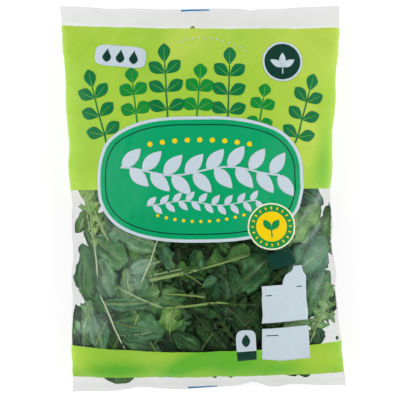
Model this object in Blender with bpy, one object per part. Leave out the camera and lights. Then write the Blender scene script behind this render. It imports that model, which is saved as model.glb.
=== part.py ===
"""Pillow bag of baby salad leaves, lying on its back with the printed face up.

The bag is one tube of clear film, heat sealed flat across both ends and filled with loose leaves.
It is modelled as one closed solid: the pouch, swollen by the leaves, with a flat seal fin at each end.
Metres, +Z up. +X runs across the bag and +Y towards its top seal. The back rests on Z = 0.
"""

import math

import bmesh
import bpy
from mathutils import Vector, noise

# Film tube, laid flat and empty.
FLAT_WIDTH = 0.210
LENGTH = 0.2885
TOP_SEAL = 0.0095
BOTTOM_SEAL = 0.0070
FIN_THICK = 0.0008  # both layers of film, drawn thick enough to be a solid

# Filling.
FULL_THICK = 0.050  # front to back, where the leaves lie deepest
SETTLE = 1.22  # above 1, the leaves have slid towards the bottom seal
SWELL_POWER = 0.52  # below 1, the pouch swells quickly away from its seals
SIDE_SHARE = 0.43  # how far up the full thickness the side folds ride
BACK_PRESS = 0.006  # how much of the back's bulge the table presses flat
FACE_POWER = 0.90  # below 1, the faces are flatter than an ellipse

# Hang of the two ends and the lie of the whole bag.
FIN_HEIGHT = 0.0085  # seal fins stand this far off the table
FIN_DROOP = 0.0030
LEAN = 0.0052  # the bottom end lies this far to the right of the top end
LEAN_FROM = 0.45  # share of the length where the lean starts
BOTTOM_GATHER = 0.030  # share of its width that the crumpled bottom seal loses
GATHER_FROM = 0.90  # share of the pouch where that gathering starts

# Folds: (depth, width of one fold, reach into the pouch, phase).
TOP_PLEATS = ((0.0013, 0.047, 0.034, 0.6), (0.0007, 0.021, 0.020, 2.1))
BOTTOM_PLEATS = ((0.0020, 0.052, 0.034, 1.9), (0.0011, 0.024, 0.018, 0.4))
SIDE_CRIMPS = ((0.0010, 0.041, 0.3), (0.0006, 0.019, 1.7))
CRIMP_REACH = 0.80  # share of the half width where side crimps begin
PLEAT_SPREAD = 0.35  # how fast pleats widen as they run into the pouch
LUMP_HEIGHT = 0.0024  # leaves pushing at the film
LUMP_SIZE = 0.034
LAYER_STEP = 3.7  # keeps the lumps of one face unlike those of the other

# Cut ends: (depth, width of one wave, phase) for the top and the bottom edge.
CUT_EDGE_WAVES = ((0.0006, 0.140, 0.5), (0.0016, 0.068, 2.5))
CUT_EDGE_REACH = 0.030

COLUMNS = 38  # facets across one face
ROWS = 48  # facets along the bag
END_CROWDING = 0.45  # share by which rows close up near the seals
FIN_FADE = 0.35  # fullness at which the pouch no longer follows the fin's own waves
GIRTH_STEPS = 12

NODE = "salad_bag"
LEAF_GREEN = (0.095, 0.205, 0.060, 1.0)


def smooth(x, low, high):
    """Eases from 0 at low to 1 at high."""
    t = min(1.0, max(0.0, (x - low) / (high - low)))
    return t * t * (3.0 - 2.0 * t)


def pouch_share(down):
    """0 at the top seal's inner edge and 1 at the bottom seal's, for a distance from the top cut edge."""
    pouch_length = LENGTH - TOP_SEAL - BOTTOM_SEAL
    return min(1.0, max(0.0, (down - TOP_SEAL) / pouch_length))


def fullness(share):
    """Swelling of the pouch, from 0 at a seal to 1 where it is deepest."""
    return max(0.0, math.sin(math.pi * share**SETTLE)) ** SWELL_POWER


def girth(half_width, half_thick):
    """Length round an oval section."""
    a, b = half_width, half_thick
    return math.pi * (3.0 * (a + b) - math.sqrt((3.0 * a + b) * (a + 3.0 * b)))


def half_width(share):
    """The film cannot stretch, so the bag narrows until the swollen section fits the tube's girth."""
    half_thick = FULL_THICK * fullness(share) / 2.0
    flat = FLAT_WIDTH / 2.0
    width = flat
    for _ in range(GIRTH_STEPS):
        width -= (girth(width, half_thick) - girth(flat, 0.0)) / 4.0
    return width * (1.0 - BOTTOM_GATHER * smooth(share, GATHER_FROM, 1.0))


def seal_folds(x, folds, from_seal):
    """Folds that run out of one seal and fade into the pouch."""
    height = 0.0
    for depth, width, reach, phase in folds:
        spread = 1.0 + PLEAT_SPREAD * from_seal / reach
        height += depth * math.cos(math.tau * x / (width * spread) + phase) * math.exp(-from_seal / reach)
    return height


def pleats(x, down):
    """Height of the folds from both seals together, at a place on the bag."""
    top = seal_folds(x, TOP_PLEATS, max(0.0, down - TOP_SEAL))
    bottom = seal_folds(x, BOTTOM_PLEATS, max(0.0, LENGTH - BOTTOM_SEAL - down))
    return top + bottom


def side_crimp(across, down):
    """Short crosswise folds where the swollen film is gathered along its sides."""
    reach = smooth(abs(across), CRIMP_REACH, 1.0)
    turn = 2.0 if across > 0.0 else 0.0
    crimp = 0.0
    for depth, width, phase in SIDE_CRIMPS:
        crimp += depth * math.cos(math.tau * down / width + turn * phase)
    return crimp * reach * fullness(pouch_share(down))


def lumps(x, down, layer):
    """Leaves pressing on the film from inside, different on each face."""
    return LUMP_HEIGHT * noise.noise(Vector((x / LUMP_SIZE, down / LUMP_SIZE, LAYER_STEP * layer)))


def side_height(share):
    """Height of the side folds above the table."""
    return FIN_HEIGHT + (SIDE_SHARE * FULL_THICK - FIN_HEIGHT) * fullness(share)


def cut_edge_shift(x, down):
    """The cut ends are not quite straight."""
    near_top = 1.0 - smooth(down, 0.0, CUT_EDGE_REACH)
    near_bottom = smooth(down, LENGTH - CUT_EDGE_REACH, LENGTH)
    shift = 0.0
    for nearness, (depth, width, phase) in zip((near_top, near_bottom), CUT_EDGE_WAVES):
        shift += nearness * depth * math.cos(math.tau * x / width + phase)
    return shift


def film_point(column, row, face):
    """Place of a grid corner. column and row run from -1 to 1, and face is 1 in front and -1 behind."""
    t = (1.0 - row) / 2.0
    down = LENGTH * (t - END_CROWDING * math.sin(math.tau * t) / math.tau)
    share = pouch_share(down)
    across = math.sin(column * math.pi / 2.0)
    rise = max(0.0, math.cos(column * math.pi / 2.0)) ** FACE_POWER

    crimp = side_crimp(across, down)
    x = across * (half_width(share) + crimp) + LEAN * smooth(down, LEAN_FROM * LENGTH, LENGTH)
    y = -down + cut_edge_shift(x, down)

    swell = fullness(share)
    flatness = 1.0 - smooth(swell, 0.0, FIN_FADE)
    beyond = max(0.0, TOP_SEAL - down, down - (LENGTH - BOTTOM_SEAL))
    level = side_height(share) - FIN_DROOP * beyond / TOP_SEAL
    level += pleats(x, down) * flatness + crimp * (1.0 - flatness)

    if face > 0:
        bulge = swell * FULL_THICK * (1.0 - SIDE_SHARE) * rise
        relief = pleats(x, down) * (1.0 - flatness) + lumps(x, down, face) * swell
        z = level + bulge + relief * rise
        return Vector((x, y, z + FIN_THICK / 2.0))
    bulge = swell * (FULL_THICK * SIDE_SHARE + BACK_PRESS) * rise
    z = level - bulge + lumps(x, down, face) * swell * rise
    return Vector((x, y, max(0.0, z - FIN_THICK / 2.0)))


def add_face_sheet(bm, face):
    """One face of the bag as a grid of facets, and returns its edges."""
    sheet = bmesh.ops.create_grid(bm, x_segments=COLUMNS, y_segments=ROWS, size=1.0)["verts"]
    for vertex in sheet:
        vertex.co = film_point(vertex.co.x, vertex.co.y, face)
    faces = {f for v in sheet for f in v.link_faces}
    if face < 0:
        bmesh.ops.reverse_faces(bm, faces=list(faces))
    return [e for e in {e for v in sheet for e in v.link_edges} if e.is_boundary]


def stand_at_origin(bm):
    """Moves the middle of the footprint to X = Y = 0."""
    for axis in (0, 1):
        places = [v.co[axis] for v in bm.verts]
        middle = (min(places) + max(places)) / 2.0
        for vertex in bm.verts:
            vertex.co[axis] -= middle


def film_material():
    """Clear film over green leaves."""
    material = bpy.data.materials.new("filled_film")
    material.use_nodes = True
    shader = material.node_tree.nodes["Principled BSDF"]
    shader.inputs["Base Color"].default_value = LEAF_GREEN
    shader.inputs["Roughness"].default_value = 0.28
    shader.inputs["Metallic"].default_value = 0.0
    return material


def salad_bag():
    """The filled bag: front and back faces, joined round their rim by the thin edge of the film."""
    bm = bmesh.new()
    rim = add_face_sheet(bm, 1) + add_face_sheet(bm, -1)
    bmesh.ops.bridge_loops(bm, edges=rim)
    stand_at_origin(bm)
    bmesh.ops.recalc_face_normals(bm, faces=bm.faces)
    mesh = bpy.data.meshes.new(NODE)
    bm.to_mesh(mesh)
    bm.free()
    mesh.materials.append(film_material())
    mesh.shade_smooth()
    bag = bpy.data.objects.new(NODE, mesh)
    bpy.context.scene.collection.objects.link(bag)
    return bag


def main():
    for old in list(bpy.data.objects):
        bpy.data.objects.remove(old)
    salad_bag()


main()
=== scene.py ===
"""Looks of a pillow bag of baby salad leaves: loose spinach and rocket in clear, part printed film."""

import math
import random

import bmesh
import bpy
import numpy as np
from mathutils import Matrix, Vector, noise
from mathutils.bvhtree import BVHTree


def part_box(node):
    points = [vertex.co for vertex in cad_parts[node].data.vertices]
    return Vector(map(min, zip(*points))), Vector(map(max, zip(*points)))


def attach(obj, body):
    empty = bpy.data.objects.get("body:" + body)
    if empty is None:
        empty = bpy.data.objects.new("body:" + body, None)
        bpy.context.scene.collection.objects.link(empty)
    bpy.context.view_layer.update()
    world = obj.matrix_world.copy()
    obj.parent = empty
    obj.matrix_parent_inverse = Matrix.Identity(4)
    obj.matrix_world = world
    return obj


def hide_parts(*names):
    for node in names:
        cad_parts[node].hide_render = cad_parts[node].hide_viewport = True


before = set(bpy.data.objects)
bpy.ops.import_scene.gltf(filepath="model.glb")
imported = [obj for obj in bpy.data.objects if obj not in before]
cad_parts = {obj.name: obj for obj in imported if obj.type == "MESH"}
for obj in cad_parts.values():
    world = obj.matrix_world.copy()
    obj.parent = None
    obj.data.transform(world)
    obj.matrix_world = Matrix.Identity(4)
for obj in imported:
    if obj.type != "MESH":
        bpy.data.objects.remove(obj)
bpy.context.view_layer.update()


# ----------------------------------------------
# Film tube: the lie of the bag, by which every piece is laid. One web of clear packing film is
# wrapped round the leaves, welded along the middle of the back and sealed across both ends. It
# cannot stretch, so its girth is the same all along.
# ----------------------------------------------
# A place on the web is given round the girth (s, from the middle of the front, towards +X) and
# along the bag (v, as Y on the flat film).
MM = 0.001
SALAD_BAG = "salad_bag"
HALF_GIRTH = 0.105  # from the middle of the front to a side fold
COLUMNS = 140  # cells across one face, 1.5 mm each
ROWS = 190
SECTION_SAMPLES = 170
RIM_SAMPLES = 60
RIM_INSET = 0.0015  # the cut edges are looked for between places this far inside the box
RIM_CLEAR = 0.0003  # the solid's height is read this far inside its cut edges
JUST_INSIDE = (0.9995, 0.999)  # shares of x and y that bring a place at the rim over the solid
SEARCH_STEPS = 18  # halvings, down to less than a micron
LAY_STEPS = 8
RIM_RANGE = (0.136, 0.16)  # how far off the middle the cut edges are looked for
CORNER_X = 0.098  # beyond this the solid has no straight cut edge
BEYOND_FOLD = 0.12  # clear of the solid at either side
NEAR_CUT = (0.007, 0.003)  # the side folds are read no nearer than this to the bottom and the top cut
FOLD_EASE = 11  # rows each way that the line of a side fold is averaged over
# Where the slack film's folds lie off that line: (side, middle v, half height, how far in X).
FOLD_STRAYS = (
    (-1, 0.145, 0.009, -0.0014), (-1, -0.012, 0.017, 0.001), (1, -0.1, 0.013, -0.0014),
    (1, -0.142, 0.011, 0.0024),
)
CUT_FADE = 0.009  # the cut ends' own waves die out over this length
SKIN_INSET = 0.00035  # film lies this far inside the solid, whose fins are thicker than real ones
THINNEST = 0.00006
RELAX_PASSES, RELAX_SHARE = 5, 0.6
# Straight lines on the flat film, as the swollen bag bends them: v, bow and tilt at BEND_X off the middle.
BEND_X = 0.1
FILM_BENDS = (
    (-0.1335, 0.0014, 0.0017), (-0.1132, 0.0062, 0.0014), (-0.06, 0.0022, 0.001), (0.008, 0.0, 0.0007),
    (0.129, 0.0016, -0.0008),
)
# The knife that cuts bag from bag wavers, and the top edge has a tear notch: (x, y) in mm.
TOP_CUT = (
    (-106, 146.3), (-80, 145.3), (-70, 144.1), (-53, 144.4), (-16, 143.7), (8, 144.6), (24, 144.5),
    (34.2, 143.9), (37, 140.3), (40, 144.1), (53, 144), (73, 145.4), (89, 145.8), (106, 146.5),
)
BOTTOM_CUT = (
    (-99, -145), (-66, -144.1), (-57, -142.9), (-47, -141.1), (-33, -142.5), (-13, -142.9), (10, -141.6),
    (29, -139.9), (39, -136.4), (44, -138.6), (52, -141.5), (58, -141.1), (67, -139), (83, -139.4),
    (106, -140),
)

solid = bmesh.new()
solid.from_mesh(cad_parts[SALAD_BAG].data)
solid_tree = BVHTree.FromBMesh(solid)
solid.free()
low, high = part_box(SALAD_BAG)


def smooth(x, low_end, high_end):
    """Eases from 0 at low_end to 1 at high_end."""
    t = min(1.0, max(0.0, (x - low_end) / (high_end - low_end)))
    return t * t * (3.0 - 2.0 * t)


def solid_height(x, y, face):
    """Height of the solid's front (face 1) or back (face -1), or None beside it."""
    hit = solid_tree.ray_cast(Vector((x, y, face)), Vector((0.0, 0.0, -face)))[0]
    return None if hit is None else hit.z


def solid_reach(start, end):
    """Last place over the solid on the way in plan from start, which is over it, to end, which isn't."""
    inside, outside = Vector(start), Vector(end)
    for _ in range(SEARCH_STEPS):
        middle = (inside + outside) / 2.0
        over = solid_height(middle.x, middle.y, 1.0) is not None
        inside, outside = (middle, outside) if over else (inside, middle)
    return inside


def row_place(row):
    """V of a row of the film."""
    return low.y + (high.y - low.y) * row / ROWS


def rim_line(side):
    """Y of the cut edge at one end, as a function of x."""
    xs = np.linspace(low.x + RIM_INSET, high.x - RIM_INSET, RIM_SAMPLES)
    start, end = side * RIM_RANGE[0], side * RIM_RANGE[1]
    ys = [solid_reach((x, start), (x, end)).y for x in np.clip(xs, -CORNER_X, CORNER_X)]
    return lambda x: float(np.interp(x, xs, ys))


bottom_rim, top_rim = rim_line(-1), rim_line(1)


def film_y(x, v):
    """Y in the filled bag of a place that lay at v on the flat film."""
    stations, bows, tilts = zip(*FILM_BENDS)
    share = x / BEND_X
    bent = v + np.interp(v, stations, bows) * share**2 + np.interp(v, stations, tilts) * share
    end = high.y if v > 0.0 else low.y
    cut_x, cut_y = zip(*(TOP_CUT if v > 0.0 else BOTTOM_CUT))
    at_cut = v + np.interp(x / MM, cut_x, cut_y) * MM - end
    near = smooth(abs(v), abs(end) - CUT_FADE, abs(end) - MM)
    return bent * (1.0 - near) + at_cut * near


def fold_line(side):
    """X of one side fold at every row, with the solid's facets averaged out."""
    v = np.linspace(low.y, high.y, ROWS + 1)
    ys = np.clip(v, low.y + NEAR_CUT[0], high.y - NEAR_CUT[1])
    xs = [solid_reach((0.0, y), (side * BEYOND_FOLD, y)).x * JUST_INSIDE[0] for y in ys]
    weights = np.hanning(2 * FOLD_EASE + 3)[1:-1]
    beyond = np.pad(xs, FOLD_EASE, mode="reflect", reflect_type="odd")
    line = np.convolve(beyond, weights / weights.sum(), mode="valid")
    for stray_side, middle, half, shift in FOLD_STRAYS:
        if stray_side == side:
            line += shift * np.exp(-(((v - middle) / half) ** 2))
    return line


left_fold, right_fold = fold_line(-1), fold_line(1)


def solid_heights(x, y):
    """Heights of the solid's front and back at a place, or just inside its rim."""
    top, under = solid_height(x, y, 1.0), solid_height(x, y, -1.0)
    if top is None or under is None:
        return solid_heights(x * JUST_INSIDE[0], y * JUST_INSIDE[1])
    return top, under


def section(row):
    """Places across the front and across the back on one row of the film, each evenly spaced."""
    v = row_place(row)
    left, right = left_fold[row], right_fold[row]
    front, back = [], []
    for k in range(SECTION_SAMPLES + 1):
        across = math.sin((k / SECTION_SAMPLES - 0.5) * math.pi)
        x = (left + right) / 2.0 + across * (right - left) / 2.0
        y = float(film_y(x, v))
        top, under = solid_heights(x, min(max(y, bottom_rim(x) + RIM_CLEAR), top_rim(x) - RIM_CLEAR))
        half = max(THINNEST, (top - under) / 2.0 - SKIN_INSET)
        if k in (0, SECTION_SAMPLES) or row in (0, ROWS):
            half = 0.0
        front.append((x, y, (top + under) / 2.0 + half))
        back.append((x, y, (top + under) / 2.0 - half))
    return even_out(np.array(front)), even_out(np.array(back))


def even_out(line):
    """The same line with its points moved to equal distances."""
    steps = np.linalg.norm(np.diff(line[:, (0, 2)], axis=0), axis=1)
    run = np.concatenate(([0.0], np.cumsum(steps)))
    wanted = np.linspace(0.0, run[-1], COLUMNS + 1)
    return np.stack([np.interp(wanted, run, line[:, axis]) for axis in range(3)], axis=1)


def relax(sheet):
    """Smooths the facets of the solid out of a sheet; its edges only slide along themselves."""
    eased = sheet.copy()
    eased[1:-1, 1:-1] = (sheet[:-2, 1:-1] + sheet[2:, 1:-1] + sheet[1:-1, :-2] + sheet[1:-1, 2:]) / 4.0
    for end in (0, -1):
        eased[1:-1, end] = (sheet[:-2, end] + sheet[2:, end]) / 2.0
        eased[end, 1:-1] = (sheet[end, :-2] + sheet[end, 2:]) / 2.0
    return sheet * (1.0 - RELAX_SHARE) + eased * RELAX_SHARE


front_sheet, back_sheet = (np.array(lines) for lines in zip(*(section(row) for row in range(ROWS + 1))))
for _ in range(RELAX_PASSES):
    front_sheet, back_sheet = relax(front_sheet), relax(back_sheet)
for end in (0, -1):
    back_sheet[:, end] = front_sheet[:, end]
    back_sheet[end] = front_sheet[end]


def outward(tube):
    """Outward unit normals of a tube of places."""
    round_girth = np.roll(tube, -1, axis=1) - np.roll(tube, 1, axis=1)
    normals = np.cross(round_girth, np.gradient(tube, axis=0))
    return normals / np.maximum(np.linalg.norm(normals, axis=2, keepdims=True), 1e-12)


# All round the bag: from the left fold over the front, and home along the back.
smooth_tube = np.concatenate((front_sheet[:, :-1], back_sheet[:, :0:-1]), axis=1)
smooth_normals = outward(smooth_tube)


def tube_place(tube, normals, s, v, depth):
    """Place at a depth below the film, for a place on the flat film."""
    row = min(max((v - low.y) / (high.y - low.y), 0.0), 1.0) * ROWS
    column = ((s + HALF_GIRTH) / (4.0 * HALF_GIRTH) % 1.0) * 2 * COLUMNS
    r0 = min(int(row), ROWS - 1)
    c0 = int(column) % (2 * COLUMNS)
    c1 = (c0 + 1) % (2 * COLUMNS)
    fr, fc = row - r0, column - int(column)
    total = np.zeros(3)
    for r, row_share in ((r0, 1 - fr), (r0 + 1, fr)):
        for c, column_share in ((c0, 1 - fc), (c1, fc)):
            total += row_share * column_share * (tube[r, c] - depth * normals[r, c])
    return Vector(total)


def under_film(s, v, depth):
    """Place inside the bag, this deep below the smooth lie of the film."""
    return tube_place(smooth_tube, smooth_normals, s, v, depth)


def on_flat_film(x, y):
    """Place on the flat film that now lies over x, y on the front."""
    s, v = x, y
    for _ in range(LAY_STEPS):
        found = under_film(s, v, 0.0)
        s, v = s + x - found.x, v + y - found.y
    return s, v


# ----------------------------------------------
# Film skin: clear cast polypropylene, 35 microns thick, printed lime green in two bands that run
# round the bag. It is pleated where the seals gather it, crimped along the side folds, and pushed
# out by the leaves. Both ends are heat sealed flat.
# ----------------------------------------------
TOP_SEAL = 0.0095
BOTTOM_SEAL = 0.0070
LIME_BANDS = ((-0.1335, -0.1130), (0.0080, 0.1290))
BACK_SHORT = 0.0017  # the bands' window edges lie this much lower or higher on the back
# Painted shade and painted light on the lime ink: deeper green where leaves lie behind it, paler where
# nothing
# lies behind it: (x, y, half width, half height in mm, turn in degrees, how much).
PAINTED_SHADE_AND_LIGHT = (
    (-64, -128, 26, 6, 2, 0.55), (-14, -125, 17, 6, 24, 0.6), (18, -120, 27, 10, 0, 0.55),
    (56, -127, 18, 5, 8, 0.35), (-36, -118, 14, 3.5, 12, -0.1), (88, -118, 16, 11, 0, -0.35),
    (-93, -121, 9, 12, 0, -0.35), (82, 116, 24, 16, 20, -0.85), (-16, 117, 16, 9, 30, -0.45),
    (-88, 60, 15, 45, 0, 0.22), (86, 16, 12, 16, 0, 0.22), (-46, 97, 26, 14, 0, 0.1),
    (91, 33, 5, 24, -4, 0.4), (77, 40, 7, 28, -5, -0.45),
)
BOTTOM_PAINTED_SHADE = 0.30  # painted shade, the same for the whole bottom band
# Painted highlights: narrow white streaks along creases of the slack film and broader patches of painted
# sheen,
# which stand in for its reflections: (x, y, half length, half width in mm, turn in degrees, how much).
GLINTS = (
    (86.2, 1.3, 9, 1.6, 60, 0.13), (76.5, -10, 8, 1.5, 60, 0.12), (84.5, -20.5, 7, 1.2, 50, 0.08),
    (79.5, -28, 12, 1.4, 46, 0.12), (86.6, -60, 8, 1.5, 60, 0.12), (82.5, -41, 15, 9, 60, 0.045),
    (94, -40, 5, 1.5, 80, 0.05), (-72.8, -58.7, 15, 8, 100, 0.05), (-51, -22.7, 17, 6, -15, 0.05),
    (-70, 2, 14, 6, -10, 0.015), (-79, -94, 15, 11, 20, 0.098), (-47, -58, 16, 12, 30, 0.082),
    (-52, -80, 20, 4, 0, 0.03),
)
# Folds: (depth, width of one fold, reach, phase).
SEAL_PLEATS = ((0.0008, 0.0150, 0.024, 0.4), (0.0005, 0.0083, 0.015, 2.0), (0.0002, 0.0047, 0.009, 1.1))
SIDE_CRIMPS = ((0.0007, 0.0190, 0.024, 0.9), (0.0004, 0.0097, 0.014, 2.2))
CREASE_LUMP, CREASE_LUMP_SIZE = 0.0010, 0.022  # leaves pushing at the film
CRINKLE, CRINKLE_SIZE = 0.0004, 0.009
FOLD_WANDER = 0.006  # how far folds stray from straight lines
PLEAT_SPREAD = 0.06  # pleats are twice as wide this far from their seal
FLAT_BY_SEAL = 0.012  # the film is taut over this length
FIN_SWAY, SWAY_WIDTH, SWAY_FADE = 0.0006, 0.052, (0.006, 0.030)  # the sealed ends' gentle waves
BACK_LIE = 0.00034  # room under the back film for its seam
WELDS = ((0.1306, 0.1312), (-0.1372, -0.1378))  # where both layers start to be welded to each other
WELD_HAZE = 0.019
SCUFF = 0.020  # haze that the film picks up below the header
SCUFF_FADE = (0.090, 0.125)
# Painted sheen: the film's grey rises along the side folds: (share of the way round the web, grey).
PAINTED_FOLD_SHEEN = ((0.152, 0.175), (0.215, 0.035), (0.370, 0.035), (0.438, 0.15), (0.470, 0.15), (0.492, 0.05))
# Tint of the painted sheen and the painted highlights.
PAINTED_SHEEN_TINT = "#dcf2ee"


def hex_colour(code):
    """Linear colour of an sRGB hex value."""
    channels = [int(code[k : k + 2], 16) / 255.0 for k in (1, 3, 5)]
    linear = [c / 12.92 if c <= 0.04045 else ((c + 0.055) / 1.055) ** 2.4 for c in channels]
    return (*linear, 1.0)


def set_inputs(material, node, inputs):
    """Sets a node's inputs to values, or links them from sockets."""
    for socket, value in inputs.items():
        if isinstance(value, bpy.types.NodeSocket):
            material.node_tree.links.new(value, node.inputs[socket])
        else:
            node.inputs[socket].default_value = value


def add_node(material, kind, inputs=None, **settings):
    """Adds a shader node and gives its first output."""
    made = material.node_tree.nodes.new("ShaderNode" + kind)
    for name, value in settings.items():
        setattr(made, name, value)
    set_inputs(material, made, inputs or {})
    return made.outputs[0]


def axes(material, vector):
    """X, Y and Z of a vector."""
    return add_node(material, "SeparateXYZ", {"Vector": vector}).node.outputs


def attribute(material, name):
    """A number that each vertex of the piece holds."""
    return add_node(material, "Attribute", attribute_name=name).node.outputs["Fac"]


def object_place(material):
    """Place in the piece's own coordinates, in metres."""
    return add_node(material, "TexCoord").node.outputs["Object"]


def maths(material, operation, *values, **settings):
    """One step of arithmetic."""
    return add_node(material, "Math", dict(enumerate(values)), operation=operation, **settings)


def mapped(material, value, start, end, first, last):
    """Takes the range from start to end to that from first to last, and holds values beyond it."""
    span = {"Value": value, "From Min": start, "From Max": end, "To Min": first, "To Max": last}
    return add_node(material, "MapRange", span)


def mottle(material, place, size, detail, **inputs):
    """Noise with patches of this size in metres. With W, each W has noise of its own."""
    inputs.update({"Vector": place, "Scale": 1.0 / size, "Detail": detail})
    return add_node(material, "TexNoise", inputs, noise_dimensions="4D" if "W" in inputs else "3D")


def blend(material, share, first, second, way="MIX"):
    """Two colours mixed."""
    return add_node(material, "MixRGB", {"Fac": share, "Color1": first, "Color2": second}, blend_type=way)


def ramp(material, value, stops):
    """Colours or greys along a value, from stops of place and hex colour or grey."""
    made = add_node(material, "ValToRGB", {"Fac": value})
    elements = made.node.color_ramp.elements
    elements[0].position, elements[1].position = stops[0][0], stops[-1][0]
    for place, _ in stops[1:-1]:
        elements.new(place)
    for element, (_, tone) in zip(elements, stops):
        element.color = hex_colour(tone) if isinstance(tone, str) else (tone, tone, tone, 1.0)
    return made


def relief(material, height, strength, distance):
    """Fine relief that only turns the light."""
    return add_node(material, "Bump", {"Height": height, "Strength": strength, "Distance": distance})


def new_material(name):
    """An empty node material."""
    material = bpy.data.materials.new(name)
    material.use_nodes = True
    return material


def finish_material(material, inputs):
    """Sets the surface of a material from numbers, colours and sockets."""
    set_inputs(material, material.node_tree.nodes["Principled BSDF"], inputs)
    return material


def fold(turn):
    """One fold of film: a narrow ridge and a wide valley."""
    return 0.6 - math.sqrt(math.sin(turn / 2.0) ** 2 + 0.01)


def crease(s, v, face):
    """How far creases push the film outwards at a place on one face."""
    wander = FOLD_WANDER * noise.noise(Vector((s / 0.035, v / 0.045, 5.0 + face)))
    top, bottom = high.y - TOP_SEAL, low.y + BOTTOM_SEAL
    height = 0.0
    for from_seal in (max(0.0, top - v), max(0.0, v - bottom)):
        for depth, width, length, phase in SEAL_PLEATS:
            turn = math.tau * (s + wander) / (width * (1.0 + from_seal / PLEAT_SPREAD)) + phase * (face + 2.0)
            height += depth * fold(turn) * math.exp(-from_seal / length)
    from_fold = HALF_GIRTH - abs(s)
    for depth, width, length, phase in SIDE_CRIMPS:
        turn = math.tau * (v + wander + 0.25 * from_fold) / width + phase * (1.0 if s > 0.0 else 3.0)
        height += depth * fold(turn) * math.exp(-from_fold / length) * smooth(from_fold, 0.0, 0.005)
    lump = noise.noise(Vector((s / CREASE_LUMP_SIZE, v / CREASE_LUMP_SIZE, 9.0 * face)))
    crinkle = 0.5 - abs(noise.noise(Vector((s / CRINKLE_SIZE, v / (CRINKLE_SIZE * 1.6), 3.0 * face))))
    height += CREASE_LUMP * lump + CRINKLE * crinkle
    in_pouch = smooth(v, bottom, bottom + FLAT_BY_SEAL) * (1.0 - smooth(v, top - FLAT_BY_SEAL, top))
    return height * in_pouch


def fin_sway(s, v):
    """Height of the gentle waves of the flat sealed ends."""
    near = 1.0 - smooth(min(v - low.y, high.y - v), *SWAY_FADE)
    return FIN_SWAY * near * math.cos(math.tau * s / SWAY_WIDTH + (1.0 if v > 0.0 else 2.6))


film_tube = smooth_tube.copy()
for row in range(ROWS + 1):
    v = row_place(row)
    for column in range(2 * COLUMNS):
        on_front = column <= COLUMNS
        run = column if on_front else 2 * COLUMNS - column
        s = -HALF_GIRTH + 2.0 * HALF_GIRTH * run / COLUMNS
        film_tube[row, column] += crease(s, v, 1 if on_front else -1) * smooth_normals[row, column]
        film_tube[row, column, 2] += fin_sway(s, v)
film_tube[:, :, 2] = np.maximum(film_tube[:, :, 2], BACK_LIE)
film_normals = outward(film_tube)


def patches_at(place, patches):
    """Sum of soft oval patches at a place on the film."""
    total = 0.0
    for x, y, half_x, half_y, turn, much in patches:
        off = Vector((place.x / MM - x, place.y / MM - y)) @ Matrix.Rotation(math.radians(turn), 2)
        total += much * math.exp(-((off.x / half_x) ** 2) - (off.y / half_y) ** 2)
    return total


MEET = 0.00002  # corners of the web nearer than this become one, along the left fold and both cut ends
(bottom_start, bottom_end), (top_start, top_end) = LIME_BANDS
film = bmesh.new()
film.loops.layers.uv.new("web")
shade_and_light_layer = film.verts.layers.float.new("painted_shade_and_light")
glint_layer = film.verts.layers.float.new("glint")
bmesh.ops.create_grid(film, x_segments=2 * COLUMNS, y_segments=ROWS, size=1.0, calc_uvs=True)
for face in film.faces:
    middle = face.calc_center_median()
    v = low.y + (high.y - low.y) * (middle.y + 1.0) / 2.0
    short = BACK_SHORT if middle.x > 0.0 else 0.0
    face.material_index = int(bottom_start < v < bottom_end - short or top_start + short < v < top_end)
for vertex in film.verts:
    column = round((vertex.co.x + 1.0) * COLUMNS) % (2 * COLUMNS)
    row = round((vertex.co.y + 1.0) / 2.0 * ROWS)
    vertex.co = film_tube[row, column]
    # Painted shade and light for the lime ink: the bottom band's shade and the listed patches.
    vertex[shade_and_light_layer] = (BOTTOM_PAINTED_SHADE if vertex.co.y < 0.0 else 0.0) + patches_at(vertex.co, PAINTED_SHADE_AND_LIGHT)
    # Painted highlights on the clear film of the front.
    vertex[glint_layer] = patches_at(vertex.co, GLINTS) if column < COLUMNS else 0.0
bmesh.ops.remove_doubles(film, verts=film.verts, dist=MEET)
bmesh.ops.recalc_face_normals(film, faces=film.faces)


def clear_film():
    """Cast polypropylene: a thin mirror with a faint haze, stronger where it is seen edge on, with painted
    sheen along the side folds and painted highlights.
    """
    material = new_material("clear_cast_polypropylene_film")
    web = add_node(material, "UVMap", uv_map="web")
    web_size = (4 * HALF_GIRTH, high.y - low.y, 1.0)
    metres = add_node(material, "Mapping", {"Vector": web, "Scale": web_size})
    along = axes(material, metres)["Y"]
    glints = attribute(material, "glint")
    marks = [mapped(material, along, start - low.y, end - low.y, 0.0, WELD_HAZE) for start, end in WELDS]
    marks.append(mapped(material, along, SCUFF_FADE[0] - low.y, SCUFF_FADE[1] - low.y, SCUFF, 0.0))
    marks.append(glints)
    marked = marks[0]
    for mark in marks[1:]:
        marked = maths(material, "ADD", marked, mark)
    haze = mapped(material, mottle(material, metres, 0.028, 4.0, Roughness=0.6), 0.3, 0.75, 0.085, 0.130)
    edge_on = add_node(material, "LayerWeight", {"Blend": 0.22}).node.outputs["Facing"]
    cover = maths(material, "MULTIPLY_ADD", maths(material, "POWER", edge_on, 3.0), 0.24, haze)
    # Painted sheen along the side folds and painted highlights: a paler, tinted film that is less of a mirror
    # where the highlights lie.
    fold_sheen = ramp(material, axes(material, web)["X"], PAINTED_FOLD_SHEEN)
    paler = maths(material, "MULTIPLY_ADD", glints, 5.0, fold_sheen, use_clamp=True)
    looks = {
        "Base Color": blend(material, 1.0, paler, hex_colour(PAINTED_SHEEN_TINT), "MULTIPLY"),
        "Metallic": maths(material, "MULTIPLY_ADD", glints, -8.0, 0.9, use_clamp=True),
        "Roughness": 0.17,
        "Alpha": maths(material, "ADD", cover, marked),
        "Normal": relief(material, mottle(material, metres, 0.004, 2.0), 0.35, 0.12 * MM),
    }
    return finish_material(material, looks)


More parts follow.
